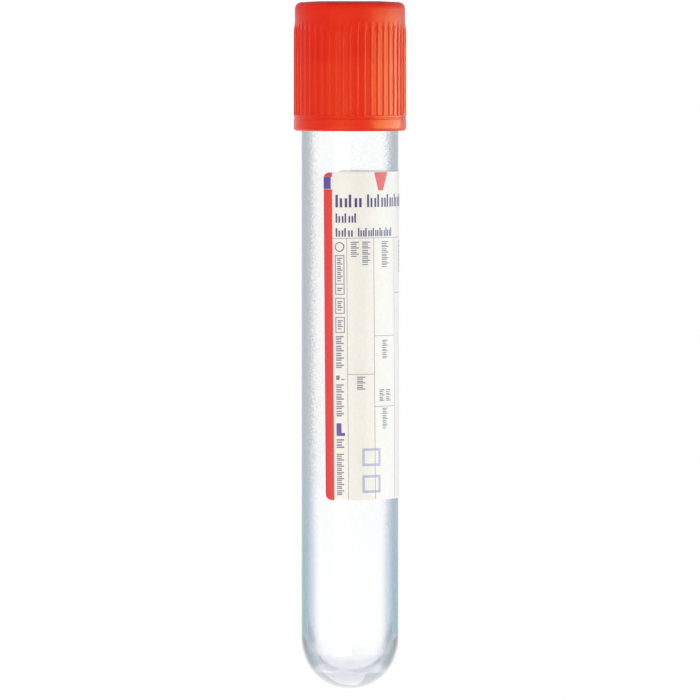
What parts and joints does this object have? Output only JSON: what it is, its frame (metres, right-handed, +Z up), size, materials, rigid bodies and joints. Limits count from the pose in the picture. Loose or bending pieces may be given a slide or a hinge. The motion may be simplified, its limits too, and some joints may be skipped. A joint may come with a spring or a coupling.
{
  "type": "blood collection tube",
  "caption": "Evacuated blood collection tube: clear round-bottomed plastic tube with a form label, a pierceable rubber stopper and a ribbed red safety cap that pull off together.",
  "frame": {"origin": "middle of the cap's flat top, on the surface that the tube stands on", "axes": "+Z up along the tube's axis, from the cap towards the rounded bottom, -Y the front, where the label's left edge shows; the tube stands on its cap because its bottom is round and it rolls when it lies down"},
  "size_m": [0.0178, 0.0178, 0.1085],
  "materials": {
    "clear_plastic": "gloss",
    "label_paper": "satin",
    "stopper_rubber": "matte",
    "red_plastic": "satin"
  },
  "bodies": {
    "tube_body": {"tube": "clear_plastic", "label": "label_paper"},
    "closure": {"stopper": "stopper_rubber", "safety_cap": "red_plastic"}
  },
  "joints": [
    {"name": "closure_pull", "type": "slide", "parent": "closure", "child": "tube_body", "axis": [0, 0, 1], "range_m": [0, 0.03]}
  ]
}
